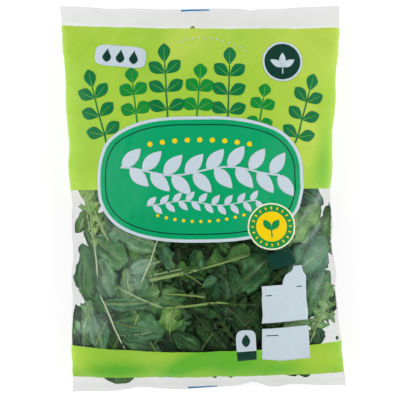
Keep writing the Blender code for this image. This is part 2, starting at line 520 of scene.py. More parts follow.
def lime_print():
    """Solid lime flexographic ink under the glossy film, with painted shade where leaves lie behind it and
    painted light where nothing does.
    """
    material = new_material("lime_flexographic_ink_under_film")
    place = object_place(material)
    patches = mottle(material, place, 0.045, 2.5, Distortion=0.6)
    grain = mottle(material, place, 0.0015, 2.0)
    # Painted shade and light: the ink deepens along the ramp with the painted patches and random mottling.
    depth = maths(material, "MULTIPLY_ADD", patches, 0.45, attribute(material, "painted_shade_and_light"))
    tint = ramp(material, depth, ((0.0, "#b1cb4b"), (0.26, "#9fc53d"), (1.0, "#5cab26")))
    slack = mottle(material, place, 0.017, 3.0, Distortion=1.2)
    wrinkles = maths(material, "MULTIPLY_ADD", grain, 0.04, slack)
    looks = {
        "Base Color": blend(material, 0.06, tint, grain.node.outputs["Color"], "OVERLAY"),
        "Normal": relief(material, wrinkles, 0.6, 1.6 * MM),
        "Roughness": 0.38,
        "Specular IOR Level": 0.16,
        "Coat Weight": 0.05,
        "Coat Roughness": 0.18,
    }
    return finish_material(material, looks)


def link_object(name, data):
    """An object of the scene that shows this mesh, lamp or camera."""
    made = bpy.data.objects.new(name, data)
    bpy.context.scene.collection.objects.link(made)
    return made


def new_object(name, mesh_data, materials):
    """An object made of a bmesh."""
    mesh = bpy.data.meshes.new(name)
    mesh_data.to_mesh(mesh)
    mesh_data.free()
    for material in materials:
        mesh.materials.append(material)
    return link_object(name, mesh)


def finish_piece(mesh_data, name, materials):
    """Turns a bmesh into a shown piece that rides with the bag."""
    piece = new_object(name, mesh_data, materials)
    piece.data.shade_smooth()
    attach(piece, "root")
    return piece


film_materials = [clear_film(), lime_print()]
film_skin = finish_piece(film, "film_skin", film_materials)
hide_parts(SALAD_BAG)

# The web's two edges overlap in one long weld, which is lost in the welds across both ends.
SEAM_WIDTH = 0.0110
SEAM_COLUMNS = 8
SEAM_LIFT = 0.00016
seam_start, seam_length = bottom_start, top_end - bottom_start
seam = bmesh.new()
seam.loops.layers.uv.new("web")
bmesh.ops.create_grid(seam, x_segments=SEAM_COLUMNS, y_segments=ROWS, size=1.0, calc_uvs=True)
for face in seam.faces:
    v = seam_start + seam_length * (face.calc_center_median().y + 1.0) / 2.0
    face.material_index = 0 if bottom_end - BACK_SHORT < v < top_start + BACK_SHORT else 1
for vertex in seam.verts:
    s = 2.0 * HALF_GIRTH + SEAM_WIDTH * (vertex.co.x + 1.0) / 2.0
    v = seam_start + seam_length * (vertex.co.y + 1.0) / 2.0
    vertex.co = tube_place(film_tube, film_normals, s, v, -SEAM_LIFT)
back_seam = finish_piece(seam, "back_seam", film_materials)


# ----------------------------------------------
# Front panel: the large printed field in the middle of the front, emerald ink with a white border
# and a dark keyline, with a plain white garland and yellow dots. Inks lie in thin even layers and
# follow every fold of the film.
# ----------------------------------------------
CELL_S = 2.0 * HALF_GIRTH / COLUMNS
CELL_V = (high.y - low.y) / ROWS
INK_THICK = 0.00004
INK_LIFT = 0.00012  # of the first ink above the film, and INK_STEP for each ink printed on another
INK_STEP = 0.00008
PANEL_PLACE = (-0.0015, 0.0150)
PANEL_SHAPE = (0.0755, 0.0465, 2.7)  # half width, half height and squareness
PANEL_FRAMES = ((0.0023, 1), (0.0034, 2), (0.0009, 1))  # widths from the edge inwards, ink inside each


def flexographic_ink(name, code, shade):
    """Ink laid by a rubber plate: flat colour, a little mottled, with random patches of painted shade that
    stand in for leaves lying behind it.
    """
    material = new_material(name + "_flexographic_ink")
    place = object_place(material)
    speckle = mottle(material, place, 0.0016, 3.0)
    # Painted shade: random patches that darken the ink towards its shade colour.
    patches = mapped(material, mottle(material, place, 0.020, 3.0, Distortion=0.8), 0.55, 0.80, 0.0, 0.55)
    share = maths(material, "MULTIPLY_ADD", speckle, 0.16, patches)
    looks = {
        "Base Color": blend(material, share, hex_colour(code), hex_colour(shade)),
        "Normal": relief(material, speckle, 0.2, 0.05 * MM),
        "Roughness": 0.38,
        "Specular IOR Level": 0.14,
        "Coat Weight": 0.04,
        "Coat Roughness": 0.18,
    }
    return finish_material(material, looks)


WHITE_INK = flexographic_ink("white", "#bfccd6", "#afbfc9")
EMERALD_INK = flexographic_ink("emerald", "#009c64", "#008c54")
DARK_INK = flexographic_ink("dark_green", "#04372a", "#032b20")
YELLOW_INK = flexographic_ink("yellow", "#edcb00", "#d8b404")


def squared(c, s, squareness):
    """How far out a form between a circle (squareness 2) and a square lies in one direction."""
    return (abs(c) ** squareness + abs(s) ** squareness) ** (-1.0 / squareness)


def superellipse(half_width, half_height, squareness, count=96):
    """Outline between an ellipse (squareness 2) and a box."""
    points = []
    for k in range(count):
        c, s = math.cos(math.tau * k / count), math.sin(math.tau * k / count)
        size = squared(c, s, squareness)
        points.append((half_width * c * size, half_height * s * size))
    return points


def disc(radius, count):
    """Outline of a round spot."""
    return superellipse(radius, radius, 2.0, count)


def pointed_leaf(length, width, fullest=0.45, count=12):
    """Outline of a simple leaf that starts at the origin and points along +X."""
    shares = [k / count for k in range(1, count)]
    power = math.log(0.5) / math.log(fullest)
    upper = [(length * t, width / 2.0 * math.sin(math.pi * t**power) ** 0.85) for t in shares]
    return [(0.0, 0.0), *upper, (length, 0.0), *((x, -y) for x, y in reversed(upper))]


def ribbon(middle, widths):
    """Outline of a line of changing width that follows a list of points."""
    left, right = [], []
    for k, (x, y) in enumerate(middle):
        before, after = middle[max(0, k - 1)], middle[min(len(middle) - 1, k + 1)]
        run = Vector((after[0] - before[0], after[1] - before[1])).normalized()
        half = (widths[0] + (widths[1] - widths[0]) * k / (len(middle) - 1)) / 2.0
        left.append((x - run.y * half, y + run.x * half))
        right.append((x + run.y * half, y - run.x * half))
    return left + right[::-1]


def moved(outline, place, turn=0.0):
    """An outline turned by degrees and put in its place."""
    c, s = math.cos(math.radians(turn)), math.sin(math.radians(turn))
    return [(place[0] + c * x - s * y, place[1] + s * x + c * y) for x, y in outline]


def start_print():
    """A flat sheet of inks, drawn on the flat film before it is laid on the bag."""
    mesh = bmesh.new()
    mesh.verts.layers.int.new("ink_above")
    return mesh


def add_ink(mesh, outline, ink, above=0, place=(0.0, 0.0), turn=0.0):
    """Draws one filled shape, turned and put in its place. Above counts the inks under it."""
    layer = mesh.verts.layers.int["ink_above"]
    corners = [mesh.verts.new((x, y, 0.0)) for x, y in moved(outline, place, turn)]
    for corner in corners:
        corner[layer] = above
    face = mesh.faces.new(corners)
    face.material_index = ink
    face.normal_update()
    if face.normal.z < 0.0:
        face.normal_flip()
    return face


def frame_in(mesh, face, width, ink):
    """Insets a drawn shape and gives the inner part another ink."""
    bmesh.ops.inset_region(mesh, faces=[face], thickness=width, use_boundary=True, use_even_offset=True)
    face.material_index = ink


def finish_print(mesh, name, inks, over):
    """Cuts a flat print along the film's own cells, lays it over this many inks on the bag and makes it
    a piece."""
    for axis, start, cell in ((0, -HALF_GIRTH, CELL_S), (1, low.y, CELL_V)):
        values = [vertex.co[axis] for vertex in mesh.verts]
        first = math.ceil((min(values) - start) / cell)
        last = math.floor((max(values) - start) / cell)
        normal = Vector((1.0 - axis, float(axis), 0.0))
        for k in range(first, last + 1):
            everything = mesh.verts[:] + mesh.edges[:] + mesh.faces[:]
            cut = normal * (start + k * cell)
            bmesh.ops.bisect_plane(mesh, geom=everything, dist=0.0000005, plane_co=cut, plane_no=normal)
    layer = mesh.verts.layers.int["ink_above"]
    for vertex in mesh.verts:
        lift = INK_LIFT + INK_STEP * (over + vertex[layer])
        vertex.co = tube_place(film_tube, film_normals, vertex.co.x, vertex.co.y, -lift)
    piece = finish_piece(mesh, name, inks)
    wall = piece.modifiers.new("ink", "SOLIDIFY")
    wall.thickness = INK_THICK
    wall.offset = -1.0
    return piece


panel = start_print()
panel_middle = on_flat_film(*PANEL_PLACE)
field = add_ink(panel, superellipse(*PANEL_SHAPE), 0, 0, panel_middle)
for width, ink in PANEL_FRAMES:
    frame_in(panel, field, width, ink)
finish_print(panel, "print_front_panel", [WHITE_INK, EMERALD_INK, DARK_INK], 2)

# Garlands: waved stems with leaves on both sides, and rows of dots above and below them.
# Each: middle, half length, wave, leaf length and width, pairs of leaves, stem width.
GARLANDS = (
    ((0.0, 0.006), 0.058, 0.003, (0.0195, 0.0098), 8, 0.0013),
    ((0.001, -0.0175), 0.04, -0.0016, (0.0092, 0.0046), 9, 0.0008),
)
GARLAND_ENDS = 0.93  # share of the stem between the first and the last pair of leaves
DOT_ROWS = ((9, 0.0090, 0.0290, 0.0019, -0.00020), (11, 0.0062, -0.0310, 0.0012, 0.00018))


def on_stem(stem, t):
    """Place on a waved stem, for t from -1 to 1."""
    (x, y), half, wave = stem
    return panel_middle[0] + x + half * t, panel_middle[1] + y + wave * math.sin(math.pi * 1.5 * t)


garland = start_print()
for *stem, leaf_size, pairs, stem_width in GARLANDS:
    line = [on_stem(stem, k / 20.0 - 1.0) for k in range(41)]
    add_ink(garland, ribbon(line, (stem_width, stem_width)), 0)
    for k in range(pairs):
        t = GARLAND_ENDS * (2.0 * k / (pairs - 1) - 1.0)
        for side in (1, -1):
            foot = on_stem(stem, t - 0.05 * side)
            add_ink(garland, pointed_leaf(*leaf_size), 0, 1, foot, side * (50.0 + 6.0 * t))
for count, gap, rise, radius, bow in DOT_ROWS:
    for k in range(count):
        step = k - (count - 1) / 2.0
        dot = (panel_middle[0] + gap * step, panel_middle[1] + rise + bow * step**2)
        add_ink(garland, disc(radius, 18), 1, 0, dot)
finish_print(garland, "print_garlands", [WHITE_INK, YELLOW_INK], 3)


# ----------------------------------------------
# Sprig motifs: a row of plain sprigs in three greens that stand up behind the front panel, with a
# plain white label, a round dark seal and a bow of small white dots above them.
# ----------------------------------------------
BOTTLE_INK = flexographic_ink("bottle_green", "#03703a", "#025a2d")
LEAF_INK = flexographic_ink("leaf_green", "#0c8631", "#09722b")
VEIN_INK = flexographic_ink("light_green", "#55a03a", "#4a9034")
# Each sprig: foot x, y, heading, length, pairs of leaflets, leaflet length and width, ink.
SPRIGS = (
    (-0.07, 0.04, 106, 0.044, 3, (0.0145, 0.0092), 0), (-0.047, 0.052, 98, 0.034, 2, (0.0125, 0.01), 1),
    (-0.025, 0.056, 94, 0.046, 3, (0.015, 0.0094), 0), (-0.004, 0.058, 86, 0.031, 2, (0.0125, 0.0102), 1),
    (0.019, 0.056, 88, 0.044, 3, (0.0145, 0.0094), 0), (0.042, 0.054, 80, 0.022, 2, (0.011, 0.0092), 1),
    (0.069, 0.042, 74, 0.04, 3, (0.014, 0.009), 0),
)
VEIN_REACH = 0.80


def leaflet(mesh, foot, turn, size, ink):
    """One leaflet with a pale vein."""
    add_ink(mesh, pointed_leaf(*size, 0.58), ink, 0, foot, turn)
    vein = ribbon([(0.0006, 0.0), (VEIN_REACH * size[0], 0.0)], (0.0007, 0.0003))
    add_ink(mesh, vein, 2, 1, foot, turn)


sprigs = start_print()
for x, y, turn, length, pairs, size, ink in SPRIGS:
    foot = on_flat_film(x, y)
    lean = math.radians(turn)
    tip = (foot[0] + length * math.cos(lean), foot[1] + length * math.sin(lean))
    add_ink(sprigs, ribbon([foot, tip], (0.0014, 0.0009)), ink)
    for k in range(pairs):
        share = 1.0 - 0.30 * (k + 0.6) * 0.046 / length
        node = (foot[0] + (tip[0] - foot[0]) * share, foot[1] + (tip[1] - foot[1]) * share)
        for side in (1, -1):
            leaflet(sprigs, node, turn + side * (52.0 + 6.0 * k), size, ink)
    leaflet(sprigs, tip, turn, size, ink)
finish_print(sprigs, "print_sprig_motifs", [BOTTLE_INK, LEAF_INK, VEIN_INK], 0)

LABEL_PLACE, LABEL_TURN = (-0.0610, 0.1070), -4.0
LABEL_SHAPE = (0.0190, 0.0080, 4.5, 60)
SEAL_PLACE, SEAL_RADIUS = (0.0600, 0.1030), 0.0150
DOT_BOW = (0.0010, 0.0680, 0.0530)  # middle x, y and radius
labels = start_print()
label_middle = on_flat_film(*LABEL_PLACE)
add_ink(labels, superellipse(*LABEL_SHAPE), 0, 0, label_middle, LABEL_TURN)
for k in (-1, 0, 1):
    drop = moved(pointed_leaf(0.0105, 0.0064, 0.66), (0.0100 * k, 0.0053), -90.0)
    add_ink(labels, drop, 1, 1, label_middle, LABEL_TURN)
seal_middle = on_flat_film(*SEAL_PLACE)
seal = add_ink(labels, disc(SEAL_RADIUS, 56), 0, 0, seal_middle)
frame_in(labels, seal, 0.0015, 1)
for turn in (90.0, 30.0, 150.0):
    add_ink(labels, pointed_leaf(0.0105, 0.0050), 0, 1, (seal_middle[0], seal_middle[1] - 0.0038), turn)
add_ink(labels, ribbon([(0.0, -0.0092), (0.0, -0.0036)], (0.0008, 0.0008)), 0, 1, seal_middle)
bow_x, bow_y, bow_radius = DOT_BOW
for k in range(12):
    turn = math.radians(109.0 - 5.0 * k)
    dot = on_flat_film(bow_x + bow_radius * math.cos(turn), bow_y + bow_radius * math.sin(turn))
    add_ink(labels, disc(0.0007, 10), 0, 0, dot)
finish_print(labels, "print_label_and_seal", [WHITE_INK, DARK_INK], 2)


# ----------------------------------------------
# Small prints: a round badge with a yellow middle, a bare dark plaque, two white fields where a
# packer stamps dates, a white portion tag on a dark foot, and thin blue register lines on both fins.
# ----------------------------------------------
CREAM_INK = flexographic_ink("cream", "#e2e5c4", "#d2d7b2")
RING_INK = flexographic_ink("badge_green", "#0d8a43", "#0a7337")
BLUE_INK = flexographic_ink("blue", "#0078b0", "#006aa0")
GREY_INK = flexographic_ink("pale_grey", "#c1ced6", "#b5c3cd")
BADGE_PLACE, BADGE_RADIUS = (0.0510, -0.0197), 0.0175
badge = start_print()
badge_middle = on_flat_film(*BADGE_PLACE)
badge_face = add_ink(badge, disc(BADGE_RADIUS, 64), 0, 0, badge_middle)
frame_in(badge, badge_face, 0.0011, 1)
frame_in(badge, badge_face, 0.0052, 2)
tick = ribbon([(0.0128, 0.0), (0.0148, 0.0)], (0.0011, 0.0011))
for k in range(20):
    add_ink(badge, tick, 2, 1, badge_middle, 18.0 * k)
for turn in (55.0, 125.0):
    sprout = pointed_leaf(0.0098, 0.0052, 0.55)
    add_ink(badge, sprout, 1, 1, (badge_middle[0], badge_middle[1] - 0.0030), turn)
add_ink(badge, ribbon([(0.0, -0.0080), (0.0, -0.0022)], (0.0011, 0.0008)), 1, 1, badge_middle)
finish_print(badge, "print_badge", [CREAM_INK, RING_INK, YELLOW_INK], 5)

PLAQUE_PLACE, PLAQUE_TURN = (0.0584, -0.0437), 16.0
PLAQUE_SHAPE = (0.0095, 0.0062, 24.0, 64)
PORTION_PLACE, PORTION_TURN = (0.0326, -0.1045), 1.5
PORTION_HALF = (0.0073, 0.0083)
plaque = start_print()
add_ink(plaque, superellipse(*PLAQUE_SHAPE), 1, 0, on_flat_film(*PLAQUE_PLACE), PLAQUE_TURN)
half_x, half_y = PORTION_HALF
arch = [(-half_x, -half_y), (half_x, -half_y)]
for k in range(17):
    c, s = math.cos(math.pi * k / 16), math.sin(math.pi * k / 16)
    arch.append((half_x * math.copysign(abs(c) ** 0.7, c), half_y - half_x * (1.0 - s**0.7)))
portion_middle = on_flat_film(*PORTION_PLACE)
add_ink(plaque, arch, 0, 0, portion_middle, PORTION_TURN)
foot = [(-0.0071, -0.0152), (0.0071, -0.0149), (0.0073, -0.0083), (-0.0073, -0.0083)]
add_ink(plaque, foot, 1, 0, portion_middle, PORTION_TURN)
leaf_foot = (portion_middle[0], portion_middle[1] - 0.0050)
add_ink(plaque, pointed_leaf(0.0100, 0.0060), 1, 1, leaf_foot, 90.0)
finish_print(plaque, "print_plaque_and_portion_tag", [WHITE_INK, DARK_INK], 0)

# Date fields: corners over the front, anticlockwise.
UPPER_FIELD = (
    (0.0442, -0.0914), (0.0783, -0.0886), (0.0767, -0.0665), (0.0767, -0.0561), (0.0747, -0.053),
    (0.0734, -0.0483), (0.0675, -0.0487), (0.0664, -0.0522), (0.0628, -0.0546), (0.0614, -0.0558),
    (0.06, -0.0587), (0.0593, -0.0628), (0.0439, -0.0638),
)
LOWER_FIELD = ((0.0447, -0.1190), (0.0600, -0.1200), (0.0806, -0.1178), (0.0788, -0.0930), (0.0444, -0.0954))
SMALL_LINES = ((0.0470, -0.0708, 0.0045), (0.0700, -0.0640, 0.0035), (0.0475, -0.1005, 0.0090))
fields = start_print()
for corners in (UPPER_FIELD, LOWER_FIELD):
    add_ink(fields, [on_flat_film(x, y) for x, y in corners], 0)
for x, y, length in SMALL_LINES:
    bar = [on_flat_film(x, y), on_flat_film(x + length, y + 0.0003)]
    add_ink(fields, ribbon(bar, (0.0007, 0.0007)), 1, 1)
finish_print(fields, "print_date_fields", [GREY_INK, DARK_INK], 0)

REGISTER_LINES = ((-0.0158, 0.0056, 0.1427), (-0.0105, 0.0115, -0.1415))
register = start_print()
for start_x, end_x, y in REGISTER_LINES:
    bar = [on_flat_film(start_x, y), on_flat_film(end_x, y + 0.0006)]
    add_ink(register, ribbon(bar, (0.0016, 0.0010)), 0)
finish_print(register, "print_register_lines", [BLUE_INK], 0)


# ----------------------------------------------
# Leaf core: the middle of the heap, which is seen only as the dark behind the loose leaves.
# Its lumpy outside stands for the leaves pressed deepest, and it keeps well clear of the side folds. Its near
# black green is painted shade.
# ----------------------------------------------
CORE_HALF_WIDTH = 0.067
CORE_UNEVEN = 0.10  # share by which its sides wander
CORE_MIDDLE, CORE_HALF_LENGTH = -0.003, 0.115
CORE_DEPTH = 0.0135  # below the film
CORE_THIN = (0.002, 0.015)  # least thickness, and where its lumps are full grown
CORE_LUMP = 0.0030
CORE_LUMP_SIZE = 0.016
SQUARENESS = 4.0


def both_films(s, v):
    """Places on the smooth lie of the film, here and on the bag's other face."""
    opposite = (2.0 if s > 0.0 else -2.0) * HALF_GIRTH - s
    return under_film(s, v, 0.0), under_film(opposite, v, 0.0)


core = bmesh.new()
bmesh.ops.create_uvsphere(core, u_segments=110, v_segments=56, radius=1.0)
for vertex in core.verts:
    ball = vertex.co.copy()
    flat = math.hypot(ball.x, ball.y)
    corner = squared(ball.x / flat, ball.y / flat, SQUARENESS) if flat > 1e-6 else 1.0
    uneven = 1.0 + CORE_UNEVEN * noise.noise(Vector((0.0, ball.y * 5.0, 2.0)))
    s = CORE_HALF_WIDTH * ball.x * corner * uneven
    v = CORE_MIDDLE + CORE_HALF_LENGTH * ball.y * corner
    front_place, back_place = both_films(s, v)
    thick = max(CORE_THIN[0], (front_place - back_place).length - 2.0 * CORE_DEPTH)
    lump = CORE_LUMP * noise.fractal(ball * (0.09 / CORE_LUMP_SIZE), 0.8, 2.1, 3)
    rise = ball.z * thick / 2.0 + lump * smooth(thick, *CORE_THIN)
    vertex.co = (front_place + back_place) / 2.0 + Vector((0.0, 0.0, rise))


def packed_leaf_painted_shade():
    """Painted shade of the heap's inside: near black gaps between dull dark green folds."""
    material = new_material("packed_spinach_painted_shade")
    folds = mottle(material, object_place(material), 0.011, 5.0, Distortion=1.4)
    looks = {
        "Base Color": ramp(material, folds, ((0.42, "#0c1606"), (0.70, "#23391a"))),
        "Normal": relief(material, folds, 0.8, 1.5 * MM),
        "Roughness": 0.6,
    }
    return finish_material(material, looks)


finish_piece(core, "leaf_core", [packed_leaf_painted_shade()])


# ----------------------------------------------
# Baby spinach leaves: soft rounded blades, up to 58 mm long, puckered between their veins, each on
# a juicy stalk that runs on as the midrib. They are loose, and lie flat against the film.
# ----------------------------------------------
BLADE_THICK = 0.00032
FILM_GAP = 0.0011  # least depth of a leaf below the film's smooth lie
LEAF_FROM_SEAL = -0.0012  # the seal may catch a leaf by its tip
PUCKER = 0.0014
PUCKER_SIZE = (0.0070, 0.0095)  # across and along the leaf
CRUMPLE, CRUMPLE_SIZE = 0.0030, 0.0170  # creases of leaves crushed into the bag
RUFFLE_SIZE = 0.0024  # length of one wave of the margin, divided by tau
UNEVEN = 0.28  # share by which a blade's margin wanders
RIB_END = 0.85  # share of the blade that the midrib runs along
MERGE = 0.000001  # a blade's two sheets meet at the margin
STALK_CELLS = (6, 12)  # round and along


def leaf_line(base, tip, bend):
    """Midline of a leaf on the flat film, bent by this angle: gives place and heading at a share of it."""
    run_s, run_v = tip[0] - base[0], tip[1] - base[1]
    length = math.hypot(run_s, run_v)
    turn = math.atan2(run_v, run_s)

    def at(share):
        bow = bend * length * share * (1.0 - share) / 2.0
        s = base[0] + run_s * share - math.sin(turn) * bow
        v = base[1] + run_v * share + math.cos(turn) * bow
        return s, v, turn + bend * (0.5 - share)

    return at, length


def leaf_place(s, v, depth):
    """Place of a bit of leaf, kept between the film's front and back and off its seals."""
    v = min(max(v, low.y + BOTTOM_SEAL + LEAF_FROM_SEAL), high.y - TOP_SEAL - LEAF_FROM_SEAL)
    place, opposite = both_films(s, v)
    deepest = max(0.0004, 0.46 * (place - opposite).length)
    return under_film(s, v, min(max(depth, FILM_GAP), deepest))


def add_blade(mesh, layers, line, length, width_share, kind, lie, look, seed):
    """One leaf blade, as two sheets that meet at the margin. The lie is its depth below the film."""
    columns, rows = kind["cells"]
    for under in (False, True):
        sheet = bmesh.ops.create_grid(mesh, x_segments=columns, y_segments=rows, size=1.0, calc_uvs=True)
        for vertex in sheet["verts"]:
            across, share = vertex.co.x, (vertex.co.y + 1.0) / 2.0
            at_margin = abs(across) > 0.999 or share < 0.001 or share > 0.999
            thick = 0.0 if at_margin or not under else BLADE_THICK
            wander = noise.fractal(Vector((share * 3.5, 4.0 * math.copysign(1.0, across), seed)), 0.7, 2.1, 3)
            half = kind["outline"](width_share, min(max(share, 0.0), 1.0)) * length * (1.0 + UNEVEN * wander)
            s, v, heading = line(share + kind["sweep"] * abs(across) ** 1.5 * half / length)
            s -= math.sin(heading) * across * half
            v += math.cos(heading) * across * half
            vertex.co = leaf_place(s, v, lie(share, across, half)) - Vector((0.0, 0.0, thick))
            for layer, value in zip(layers, look):
                vertex[layer] = value


def add_stalk(mesh, layers, line, shares, radii, lie, look):
    """One stalk, as a tube that tapers along the same midline."""
    sides, steps = STALK_CELLS
    sheet = bmesh.ops.create_grid(mesh, x_segments=sides, y_segments=steps, size=1.0, calc_uvs=True)
    for vertex in sheet["verts"]:
        round_turn = (vertex.co.x + 1.0) * math.pi
        run = (vertex.co.y + 1.0) / 2.0
        share = shares[0] + (shares[1] - shares[0]) * run
        radius = (radii[0] + (radii[1] - radii[0]) * run) * min(1.0, 8.0 * run, 8.0 * (1.0 - run)) ** 0.5
        s, v, heading = line(share)
        s -= math.sin(heading) * math.cos(round_turn) * radius
        v += math.cos(heading) * math.cos(round_turn) * radius
        vertex.co = leaf_place(s, v, lie(share, 0.0, 0.0) - radius * 0.7 * math.sin(round_turn))
        for layer, value in zip(layers, look):
            vertex[layer] = value
    bmesh.ops.remove_doubles(mesh, verts=sheet["verts"], dist=MERGE)
    for vertex in sheet["verts"]:
        if vertex.is_valid:
            for face in vertex.link_faces:
                face.material_index = 1


def leaf_lie(length, depths, tilt, cup, ruffle, seed):
    """Depth below the film over a leaf: its slope, tilt, cupping, ruffled margin and puckers."""

    def depth(share, across, half):
        slope = depths[0] + (depths[1] - depths[0]) * share
        roll = math.sin(3.0 * share + seed)
        spoon = cup * abs(across) ** 1.6 * half + (tilt + 0.12 * roll) * across * half
        margin = ruffle * abs(across) ** 3 * math.sin(share * length / RUFFLE_SIZE + seed)
        spot = Vector((across * half / PUCKER_SIZE[0], share * length / PUCKER_SIZE[1], seed))
        spread = Vector((across * half, share * length, 0.0)) / CRUMPLE_SIZE
        creases = abs(noise.noise(spread + Vector((0.0, 0.0, seed + 20.0)))) - 0.2
        return slope + spoon + margin + PUCKER * noise.noise(spot) + CRUMPLE * creases

    return depth


def spinach_outline(width_share, share):
    """Half width along a spinach blade, as a share of its length."""
    return 0.5 * width_share * 2.25 * share**0.55 * (1.0 - share) ** 0.62


def look_layers(mesh):
    """Layers for the tone and the coolness of each leaf."""
    mesh.loops.layers.uv.new("leaf")
    return [mesh.verts.layers.float.new(name) for name in ("tone", "cool")]


def leaf_piece(name, kind, front, materials):
    """All leaves of one kind in one piece: those of the front window, then layers of loose ones. A leaf
    is noted as its blade's base and tip on the flat film, width share, depths at both, bend, tilt, cup,
    tone, coolness and stalk share."""
    leaves = placed(front)
    chance = random.Random(kind["seed"])
    for layer in kind["layers"]:
        leaves += scattered(chance, kind, *layer)
    mesh = bmesh.new()
    layers = look_layers(mesh)
    ribs = []
    for number, (base, tip, width_share, depths, bend, tilt, cup, *look, stalk) in enumerate(leaves):
        line, length = leaf_line(base, tip, bend)
        lie = leaf_lie(length, depths, tilt, cup, kind["ruffle"], number * 1.7)
        add_blade(mesh, layers, line, length, width_share, kind, lie, look, number * 2.3)
        ribs.append((line, (-stalk, RIB_END), kind["rib_radii"], lie, look))
    bmesh.ops.remove_doubles(mesh, verts=mesh.verts, dist=MERGE)
    for rib in ribs:
        add_stalk(mesh, layers, *rib)
    bmesh.ops.recalc_face_normals(mesh, faces=mesh.faces)
    return finish_piece(mesh, name, materials)


def leaf_blade(name, warm, cool, vein, veins_per_leaf):
    """Fresh leaf: waxy and softly mottled, from yellow green to blue green, with faint lighter veins."""
    material = new_material(name)
    leaf = add_node(material, "UVMap", uv_map="leaf")
    across, along, _ = axes(material, leaf)
    from_rib = maths(material, "ABSOLUTE", maths(material, "SUBTRACT", across, 0.5))
    place = object_place(material)
    tone = attribute(material, "tone")
    own = maths(material, "MULTIPLY", tone, 40.0)

    # Side veins leave the midrib, sweep towards the tip and fade out before the margin.
    wobble = mottle(material, place, 0.008, 2.0, W=own)
    swept = maths(material, "MULTIPLY_ADD", from_rib, -0.55, along)
    wandering = maths(material, "MULTIPLY_ADD", wobble, 0.16, swept)
    beat = maths(material, "PINGPONG", maths(material, "MULTIPLY", wandering, veins_per_leaf), 0.5)
    side_vein = mapped(material, beat, 0.0, 0.09, 1.0, 0.0)
    fading_vein = maths(material, "MULTIPLY", side_vein, mapped(material, from_rib, 0.05, 0.46, 0.90, 0.0))
    veins = maths(material, "MAXIMUM", fading_vein, mapped(material, from_rib, 0.01, 0.05, 1.0, 0.0))

    # Greens: large blotches and lengthwise streaks, with painted shade that deepens towards the margin.
    blotch = mottle(material, place, 0.013, 5.0, W=own, Roughness=0.62, Distortion=0.5)
    lengthwise = add_node(material, "Mapping", {"Vector": leaf, "Scale": (6.0, 1.3, 1.0)})
    streaks = mottle(material, lengthwise, 1.0, 4.0, W=own)
    centred = maths(material, "SUBTRACT", maths(material, "ADD", blotch, streaks), 1.0)
    # Painted shade: the tone falls towards the margin.
    shaded = maths(material, "ADD", maths(material, "MULTIPLY_ADD", from_rib, -0.24, tone), 0.05)
    mottled = maths(material, "MULTIPLY_ADD", centred, 1.15, shaded)
    greens = [ramp(material, mottled, [(k / 3, codes[k]) for k in range(4)]) for codes in (warm, cool)]
    green = blend(material, attribute(material, "cool"), *greens)

    # A net of the finest veins lies between the others, and the blade is puckered between them all.
    spots = {"Vector": place, "W": own, "Scale": 1.0 / 0.0030}
    settings = {"feature": "DISTANCE_TO_EDGE", "voronoi_dimensions": "4D"}
    cells = add_node(material, "TexVoronoi", spots, **settings).node.outputs["Distance"]
    net = maths(material, "MAXIMUM", veins, mapped(material, cells, 0.0, 0.20, 0.15, 0.0))
    puckers = mottle(material, place, 0.0055, 4.0, W=own)
    hollows = maths(material, "MULTIPLY_ADD", net, -0.35, puckers)
    folded = maths(material, "MULTIPLY_ADD", streaks, 1.6, hollows)
    billowed = maths(material, "MULTIPLY_ADD", blotch, 1.2, folded)
    looks = {
        "Base Color": blend(material, maths(material, "MULTIPLY", net, 0.36), green, hex_colour(vein)),
        "Normal": relief(material, billowed, 1.0, 2.8 * MM),
        "Roughness": mapped(material, blotch, 0.35, 0.65, 0.36, 0.58),
        "IOR": 1.42,
        "Specular IOR Level": 0.13,
    }
    return finish_material(material, looks)


def leaf_stalk():
    """Crisp stalk: watery green, nearly white in the palest leaves, with fine lengthwise fibres."""
    material = new_material("leaf_stalk")
    leaf = add_node(material, "UVMap", uv_map="leaf")
    stretched = add_node(material, "Mapping", {"Vector": leaf, "Scale": (5.0, 0.7, 1.0)})
    fibres = mottle(material, stretched, 1.0 / 3.0, 3.0)
    centred = maths(material, "SUBTRACT", fibres, 0.5)
    tone = maths(material, "MULTIPLY_ADD", centred, 0.5, attribute(material, "tone"))
    stops = ((0.1, "#28451b"), (0.42, "#4f7035"), (0.66, "#82a254"), (1.0, "#cbd8b2"))
    looks = {
        "Base Color": ramp(material, tone, stops),
        "Normal": relief(material, fibres, 0.4, 0.2 * MM),
        "Roughness": 0.35,
        "IOR": 1.4,
    }
    return finish_material(material, looks)


stalk_material = leaf_stalk()

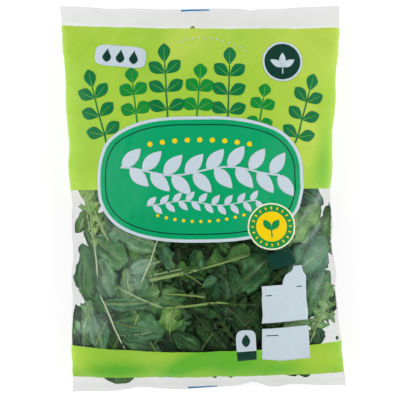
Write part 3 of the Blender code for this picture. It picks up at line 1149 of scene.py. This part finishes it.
# Leaves that show in the front window, in mm over the front.
FRONT_SPINACH = (
    # base x, y, tip x, y, width share, base and tip depth, bend, tilt, cup, tone, coolness, stalk share
    (-33, 2.8, -73.5, -4.7, 0.62, 5, 3.6, 0.2, 0.05, 0.15, 0.3, 0.9, 0.1),
    (-27.8, -34.7, -70.5, -19.7, 0.52, 3.4, 1.8, 0.2, -0.05, 0.15, 0.74, 0.7, 0.05),
    (-81, -28.7, -56.2, -49.7, 0.8, 2.6, 1.4, 0.1, 0.04, 0.1, 0.62, 0.6, 0.1),
    (-78, -43.7, -67.5, -72.9, 0.62, 3.2, 1.4, 0.2, 0, 0.12, 0.66, 0.75, 0),
    (-33.8, -46.7, -55.5, -52.7, 0.56, 3.4, 2.6, 0.1, 0, 0.2, 0.82, 0.9, 0.2),
    (-53.2, -72.2, -56.2, -49.7, 0.36, 3, 2.3, 0.3, 0, 0.1, 0.8, 0.4, 0.2),
    (-19.5, -52.7, -31.5, -33.2, 0.6, 3.4, 2.8, 0, 0.06, 0.1, 0.58, 1, 0.1),
    (-74.2, -77.4, -36.8, -75.9, 0.3, 2, 1.6, -0.1, 0.1, 0.2, 0.66, 0.85, 0),
    (-66, -91.7, -27, -97.7, 0.62, 2, 1.3, -0.2, 0.1, 0.15, 0.57, 0.75, 0.1),
    (-24, -99.2, -19.5, -78.5, 0.82, 2.4, 1.7, 0.2, 0, 0.2, 0.64, 0.12, 0.1),
    (-91.5, -110.4, -84, -73.7, 0.72, 2.8, 2, -0.2, 0.05, 0.3, 0.66, 0.6, 0),
    (-73.5, -114.2, -81, -85.7, 0.62, 1.9, 1.6, 0.2, 0, 0.12, 0.66, 0.8, 0),
    (-94.8, -115, -95.4, -78.2, 0.36, 1.4, 1.4, 0, 0, 0.05, 0.08, 0.4, 0),
    (-30, -114.9, -60, -104.4, 0.46, 3, 2.4, 0.1, 0, 0.15, 0.52, 0.6, 0.1),
    (0, -113.4, -23.2, -99.9, 0.62, 3.2, 2.4, 0.2, 0, 0.15, 0.34, 0.5, 0.1),
    (21.8, -70.7, 51, -40.7, 0.62, 2.2, 1.3, 0.1, -0.05, 0.12, 0.32, 0.6, 0.1),
    (0.8, -64.7, 15.8, -54.9, 0.55, 2.4, 1.9, 0, 0.1, 0.1, 0.48, 1, 0.1),
    (-15, -64.7, -18, -34.7, 0.46, 3.2, 2.8, 0.1, 0, 0.25, 0.1, 0.4, 0),
    (-6.8, -64.7, -3.8, -35.4, 0.5, 3, 2.6, -0.1, 0, 0.2, 0.34, 0.9, 0),
    (-3.8, -76.7, 30, -49.7, 0.52, 3.4, 2.6, 0.2, 0, 0.2, 0.2, 0.3, 0),
    (-14.2, -77.4, 24, -90.2, 0.5, 3.8, 3, 0.2, 0, 0.25, 0.17, 0.3, 0),
    (46.5, -105.2, 16.5, -78.2, 0.6, 3, 2.4, 0.2, 0, 0.15, 0.2, 0.5, 0),
    (-3.8, -87.2, 20.2, -114.2, 0.52, 3.4, 2.8, 0, 0, 0.2, 0.12, 0.2, 0.1),
    (46.5, -67.7, 30.8, -96.2, 0.58, 3, 2.6, 0.2, 0, 0.2, 0.15, 0.4, 0),
    (63, 11.8, 91.5, -3.2, 0.6, 2.2, 1.8, 0.1, 0, 0.12, 0.46, 1, 0),
    (60, -33.2, 87.8, -1.7, 0.66, 2, 1.2, 0.2, 0, 0.1, 0.7, 0.3, 0.1),
    (97, -4, 91.8, -32.4, 0.72, 1.8, 1.6, 0.2, 0, 0.3, 0.34, 0, 0.1),
    (64.5, -60.2, 96, -28.7, 0.68, 1.8, 1.2, 0.1, 0.05, 0.1, 0.48, 1, 0),
    (75.8, -87.2, 96.8, -52.7, 0.62, 2.2, 1.7, 0.2, 0, 0.12, 0.5, 0.7, 0),
    (87, -108.9, 87, -95.4, 0.8, 1.8, 1.4, 0, 0, 0.1, 0.32, 0.7, 0),
    (60, -94.8, 85, -90.9, 0.42, 2, 1.6, 0, 0, 0.15, 0.74, 0.6, 0),
    (-63.6, -117, -64.8, -139.2, 1.3, 1.8, 0.8, 0, 0, 0.05, 0.42, 0, 0.1),
    (9.5, -121.7, 10, -135.2, 0.5, 1.4, 0.8, 0, 0, 0, 0.1, 0.2, 0),
    (22.8, -121.2, 21.8, -135, 0.5, 1.4, 0.8, 0, 0, 0, 0.1, 0.2, 0),
    (62, -121.7, 63.8, -132.4, 0.5, 1.4, 0.8, 0, 0, 0, 0.12, 0.2, 0),
    (100.5, -103.7, 103.2, -102.9, 0.8, 1, 1, 0, 0, 0, 0.35, 0, 0),
    (-87, -7.7, -95.2, -24.9, 0.5, 1.8, 1.5, 0.2, 0, 0.1, 0.44, 0, 0.1),
    (-86.9, -75.5, -89.6, -32.4, 0.6, 2.3, 1.8, 0.06, 0, 0.2, 0.44, 0.5, 0),
    (-80.2, 11.8, -81.8, -9.9, 0.3, 1.8, 1.6, 0, 0, 0.1, 0.6, 0, 0),
    (-79.5, -46, -78.5, -8.5, 0.46, 3.6, 2.8, 0.1, 0, 0.12, 0.44, 0.35, 0),
    (-70.5, -38, -73.5, -9.5, 0.36, 3, 2.4, -0.2, 0, 0.15, 0.58, 0.6, 0),
    (-84, -38, -86.5, -14, 0.36, 3.2, 2.6, 0.1, 0, 0.1, 0.5, 0.15, 0),
    (-8.6, 121.5, -6.2, 131.4, 0.5, 1, 0.7, 0, 0, 0, 0.9, 0.1, 0),
    (-70, -86, -83, -46, 0.74, 4.2, 3.4, 0.1, 0, 0.2, 0.54, 0.8, 0),
)


def placed(rows):
    """Leaves of a table, with their ends taken from the front to the flat film."""
    leaves = []
    for base_x, base_y, tip_x, tip_y, width_share, base_depth, tip_depth, *rest in rows:
        base, tip = on_flat_film(base_x * MM, base_y * MM), on_flat_film(tip_x * MM, tip_y * MM)
        leaves.append((base, tip, width_share, (base_depth * MM, tip_depth * MM), *rest))
    return leaves


# Places over the side folds' inner zone that stay empty through the whole bag: x, y and radius in mm.
CLEAR_GAPS = (
    (-75.7, 2.4, 2.5), (-79.5, -5, 2.2), (-72.8, -5.4, 2.5), (-89.2, -23.5, 2.6), (-93, -31.5, 4.5),
    (-93, -2, 5), (-97, -50, 3), (-97, -58, 2.6), (-97, -66, 2.4), (93, 0.8, 5), (98, -52.8, 3.5),
    (100.5, -72, 3), (101, -98, 3.5),
)
PAST_ENDS = 0.012  # a loose leaf may reach this far below its layer
TOP_CLEAR = 0.010  # and no nearer than this to the top seal
THIN_BY_FOLD = 0.018  # few leaves lie nearer than this to a side fold
# Painted light: loose leaves get a paler tone near the side folds and towards the left.
PAINTED_LIGHT_BY_FOLD = (0.020, 0.060)
PAINTED_LIGHT_ON_LEFT = (0.025, 0.045)


def fills_gap(base, tip, half_width):
    """Whether a leaf would cover one of the clear gaps, as seen from above."""
    start, end = (under_film(*place, 0.0).xy / MM for place in (base, tip))
    run = end - start
    for x, y, radius in CLEAR_GAPS:
        to_gap = Vector((x, y)) - start
        share = min(1.0, max(0.0, to_gap.dot(run) / max(run.length_squared, 1e-9)))
        if (to_gap - run * share).length < radius + half_width / MM:
            return True
    return False


def scattered(chance, kind, count, depth, ends):
    """Leaves that lie loose all round the film. Fewer lie near the side folds, where the filling is thin, and
    those near them and those towards the left get painted light, a paler tone. None runs into a seal or a
    clear gap."""
    found = []
    while len(found) < count:
        s, v = chance.uniform(-2.0 * HALF_GIRTH, 2.0 * HALF_GIRTH), chance.uniform(*ends)
        turn = chance.uniform(0.0, math.tau)
        length, width_share = chance.uniform(*kind["lengths"]), chance.uniform(*kind["widths"])
        stalk = chance.uniform(*kind["stalks"])
        near = depth * chance.uniform(0.75, 1.25)
        depths = (near + chance.uniform(-0.002, 0.002), near + chance.uniform(-0.002, 0.002))
        bend, tilt, cup = chance.uniform(-0.6, 0.6), chance.uniform(-0.2, 0.2), chance.uniform(*kind["cups"])
        tone, cool = chance.uniform(*kind["tones"]), chance.uniform(0.0, 1.0)
        on_fold = chance.random() < kind["fold_chance"]
        base, tip = (s, v), (s + length * math.cos(turn), v + length * math.sin(turn))
        foot = v - stalk * length * math.sin(turn)
        from_fold = abs(abs((s + tip[0]) / 2.0) - HALF_GIRTH)
        if min(tip[1], foot) < ends[0] - PAST_ENDS or max(tip[1], foot) > high.y - TOP_SEAL - TOP_CLEAR:
            continue
        if (from_fold < THIN_BY_FOLD and not on_fold) or fills_gap(base, tip, 0.4 * width_share * length):
            continue
        # Painted light: a paler tone near the side folds and towards the left.
        tone += 0.16 * (1.0 - smooth(from_fold, *PAINTED_LIGHT_BY_FOLD)) + 0.27 * smooth(-s, *PAINTED_LIGHT_ON_LEFT)
        found.append((base, tip, width_share, depths, bend, tilt, cup, tone, cool, stalk))
    return found


SPINACH = {
    "outline": spinach_outline,
    "cells": (10, 16),  # across and along a blade
    "sweep": 0.0,
    "ruffle": 0.0009,
    "rib_radii": (0.00055, 0.00018),
    "seed": 11,
    # Layers of loose leaves: how many, depth below the film, range of v.
    "layers": ((60, 0.0054, (-0.122, 0.020)), (56, 0.0095, (-0.122, 0.020)), (28, 0.0055, (0.020, 0.115))),
    "lengths": (0.036, 0.058),
    "widths": (0.56, 0.84),
    "cups": (-0.15, 0.40),
    "tones": (0.02, 0.42),
    "stalks": (0.05, 0.3),
    "fold_chance": 0.4,  # of a leaf that lies near a side fold to stay
}
greens = ("#0a1e02", "#265417", "#5e9238", "#a2c66c"), ("#071e0c", "#1e5132", "#558f67", "#94c1a0")
spinach_blade = leaf_blade("spinach_blade", *greens, "#a5bd8c", 7.0)
leaf_piece("spinach_leaves", SPINACH, FRONT_SPINACH, [spinach_blade, stalk_material])


# ----------------------------------------------
# Wild rocket leaves: long thin blades cut into pointed lobes, up to 78 mm long, with a strong pale
# midrib. They lie loose among the spinach.
# ----------------------------------------------
ROCKET_LOBES = ((0.14, 0.30), (0.30, 0.60), (0.47, 0.90), (0.64, 1.0))
LOBE_WIDTH = 0.045


def rocket_outline(width_share, share):
    """Half width along a rocket blade: a narrow wing with pairs of lobes and a rounded end lobe."""
    wing = 0.13 + 0.10 * share
    for middle, size in ROCKET_LOBES:
        wing += 0.85 * size * math.exp(-(((share - middle) / LOBE_WIDTH) ** 2))
    end = 0.80 * max(0.0, 1.0 - ((share - 0.87) / 0.13) ** 2) ** 0.5
    taper = min(1.0, share * 9.0) * min(1.0, (1.0 - share) * 12.0) ** 0.5
    return 0.5 * width_share * max(wing * taper, end * smooth(share, 0.72, 0.80))


FRONT_ROCKET = (
    # as for the spinach
    (-79.5, -39.2, -87.5, 9.8, 0.42, 1.6, 1.2, -0.1, 0, 0.08, 0.88, 0, 0.4),
    (-70, -30, -84, 4, 0.44, 1.9, 1.5, 0.15, 0, 0.08, 0.82, 0, 0.1),
    (-93, -24, -80, 9, 0.46, 2.2, 1.8, -0.1, 0, 0.1, 0.72, 0, 0),
    (-66, -15, -73, 9.5, 0.52, 2.4, 1.8, 0.2, 0, 0.1, 0.66, 0, 0),
    (-90, -14, -76, 10, 0.5, 3, 2.4, -0.2, 0, 0.1, 0.4, 0, 0),
    (-39, -59.4, 36, -40, 0.32, 1.6, 1.6, 0.03, 0, 0.12, 0.4, 0.5, 0),
    (2.2, -77.4, 45, -78.2, 0.34, 1.8, 2.2, 0.1, 0, 0.12, 0.24, 0.4, 0),
    (-29.2, -70.7, 3, -71.4, 0.22, 1.7, 1.8, 0.1, 0, 0.1, 0.44, 0.5, 0),
    (80.2, -109.7, 97.2, -63.2, 0.54, 1.6, 1.2, 0.1, 0.05, 0.12, 0.78, 0.5, 0),
    (80.2, -90.2, 99.5, -87.2, 0.62, 2, 1.5, 0.1, 0, 0.15, 0.74, 0.4, 0),
    (28.5, -109.7, 9.8, -81.2, 0.4, 2.6, 2.2, 0.3, 0, 0.12, 0.18, 0.5, 0.1),
    (-63, -46.7, -58.5, -13.7, 0.4, 3.8, 3, 0.3, 0, 0.15, 0.68, 0.6, 0.1),
    (-87.8, -75.2, -70.5, -102.2, 0.4, 1.8, 1.5, 0.3, 0, 0.15, 0.5, 0.6, 0),
    (73.5, -7.7, 93, -37.7, 0.44, 3, 2.6, 0.3, 0, 0.12, 0.38, 0.5, 0),
    (-39, -114.2, -16.5, -84.2, 0.34, 3.2, 2.8, 0.2, 0, 0.12, 0.34, 0.5, 0.1),
)

ROCKET = {  # as for the spinach
    "outline": rocket_outline,
    "cells": (6, 46),
    "sweep": 0.5,
    "ruffle": 0.0005,
    "rib_radii": (0.00075, 0.00022),
    "seed": 23,
    "layers": ((18, 0.0045, (-0.120, 0.015)), (22, 0.0080, (-0.120, 0.018)), (12, 0.0050, (0.020, 0.110))),
    "lengths": (0.042, 0.066),
    "widths": (0.36, 0.50),
    "cups": (-0.05, 0.25),
    "tones": (0.12, 0.40),
    "stalks": (0.05, 0.25),
    "fold_chance": 0.5,
}
greens = ("#0d2502", "#2c5c16", "#669a3a", "#a8cc70"), ("#0b250d", "#29582f", "#619360", "#9ec496")
rocket_blade = leaf_blade("rocket_blade", *greens, "#b0c98f", 9.0)
leaf_piece("rocket_leaves", ROCKET, FRONT_ROCKET, [rocket_blade, stalk_material])


# ----------------------------------------------
# Loose stalks: the ends of leaf stalks that run far from their blades or have broken off, pale and
# watery, lying against the front film.
# ----------------------------------------------
FRONT_STALKS = (
    # start x, y, end x, y, start and end radius and depth in mm, bend, tone
    (-30.8, -24.2, -45.5, -62.4, 0.4, 0.55, 1.2, 0.05, 0.95),
    (-76.1, -69.9, -57, -112.7, 0.75, 0.5, 1.2, -0.06, 1),
    (-62.2, -14.1, -39.8, -19.3, 0.9, 0.45, 1.3, 0.2, 0.66),
    (-47.4, -84.6, -50.4, -93.6, 0.75, 0.6, 1.2, 0.1, 0.66),
    (-70.5, -88.7, -79.9, -109.7, 0.25, 0.35, 1.4, 0.1, 0.7),
    (8.6, -98.4, -1.1, -113.4, 0.35, 0.45, 1.8, 0.1, 0.45),
    (-61.1, -65.8, -28.5, -80.3, 0.85, 0.95, 1.2, -0.12, 0.76),
    (-29.2, -80.3, 10.5, -76.1, 0.8, 1, 1.2, -0.08, 0.66),
    (9.8, -76.1, 20, -77, 0.95, 0.45, 1.4, 0.05, 0.62), (-28.5, -69.9, 3, -72.2, 0.6, 0.75, 1.4, 0.15, 0.64),
    (-61.5, -101.3, -37.5, -98.4, 0.3, 0.22, 1.1, -0.25, 0.9),
    (-73.5, -77.6, -41.2, -76.3, 0.35, 0.2, 1.1, -0.1, 0.72),
    (-39.8, -59.6, -1.5, -51.4, 1.35, 0.9, 1.2, -0.05, 0.72),
    (-1.5, -51.4, 35.2, -41.2, 0.9, 0.4, 1.3, 0.03, 0.66), (-12, -55, 1, -63.5, 0.55, 0.3, 1.3, 0.15, 0.58),
    (-39.5, -56.4, -12.5, -50.6, 0.42, 0.28, 0.75, 0.04, 0.84),
    (-88.1, 2.8, -80.2, -32.4, 0.5, 0.6, 1.1, -0.12, 0.76),
    (80.2, -108.9, 93, -75.2, 0.6, 0.4, 1.2, 0.1, 0.72),
    (-41.2, -46.7, -31.5, -37.7, 0.3, 0.3, 1.5, 0.1, 0.5),
    (-19.5, -46.7, -15, -64.7, 0.3, 0.3, 2, 0.1, 0.35),
)

stalks = bmesh.new()
stalk_layers = look_layers(stalks)
for start_x, start_y, end_x, end_y, start_radius, end_radius, depth, bend, tone in FRONT_STALKS:
    start, end = on_flat_film(start_x * MM, start_y * MM), on_flat_film(end_x * MM, end_y * MM)
    line, length = leaf_line(start, end, bend)
    radii = (start_radius * MM, end_radius * MM)
    lie = leaf_lie(length, (depth * MM, depth * MM), 0.0, 0.0, 0.0, 5.0)
    add_stalk(stalks, stalk_layers, line, (0.0, 1.0), radii, lie, (tone, 0.0))
for face in stalks.faces:
    face.material_index = 0
bmesh.ops.recalc_face_normals(stalks, faces=stalks.faces)
finish_piece(stalks, "loose_stalks", [stalk_material])


# ----------------------------------------------
# Studio: a pale seamless floor, soft boxes on both sides, bright walls under a dark ceiling, and a
# long-lensed camera that looks straight down.
# ----------------------------------------------
CAMERA_HEIGHT = 1.5
FRAME_WIDTH = 0.3005  # width of view at the height of the side folds
FOLD_HEIGHT = 0.015

floor_mesh = bmesh.new()
bmesh.ops.create_grid(floor_mesh, x_segments=8, y_segments=8, size=3.0)
for vertex in floor_mesh.verts:
    vertex.co.z = -0.0002
looks = {
    "Base Color": hex_colour("#898989"),
    "Roughness": 0.8,
    "Emission Color": (1.0, 1.0, 1.0, 1.0),
    "Emission Strength": 0.79,
}
floor = new_object("floor", floor_mesh, [finish_material(new_material("matt_white_paper_floor"), looks)])


def soft_box(name, place, size, power):
    """A square soft box that faces the bag."""
    lamp = bpy.data.lights.new(name, "AREA")
    lamp.shape = "RECTANGLE"
    lamp.size, lamp.size_y = size
    lamp.energy = power
    box = link_object(name, lamp)
    box.location = place
    box.rotation_euler = (-Vector(place)).to_track_quat("-Z", "Y").to_euler()


soft_box("soft_box_left", (-1.15, 0.10, 0.66), (1.3, 2.0), 13.6)
soft_box("soft_box_right", (1.15, 0.05, 0.66), (1.3, 2.0), 13.6)

world = bpy.data.worlds.new("studio")
world.use_nodes = True
direction = add_node(world, "TexCoord").node.outputs["Generated"]
walls = mapped(world, axes(world, direction)["Z"], 0.35, 0.92, 1.25, 0.03)
set_inputs(world, world.node_tree.nodes["Background"], {"Color": (1.0, 1.0, 1.0, 1.0), "Strength": walls})
bpy.context.scene.world = world

lens = bpy.data.cameras.new("camera")
camera = link_object("camera", lens)
camera.location = (-0.0015, -0.0002, CAMERA_HEIGHT)
lens.lens = lens.sensor_width * (CAMERA_HEIGHT - FOLD_HEIGHT) / FRAME_WIDTH
bpy.context.scene.camera = camera
bpy.context.scene.view_settings.view_transform = "Standard"
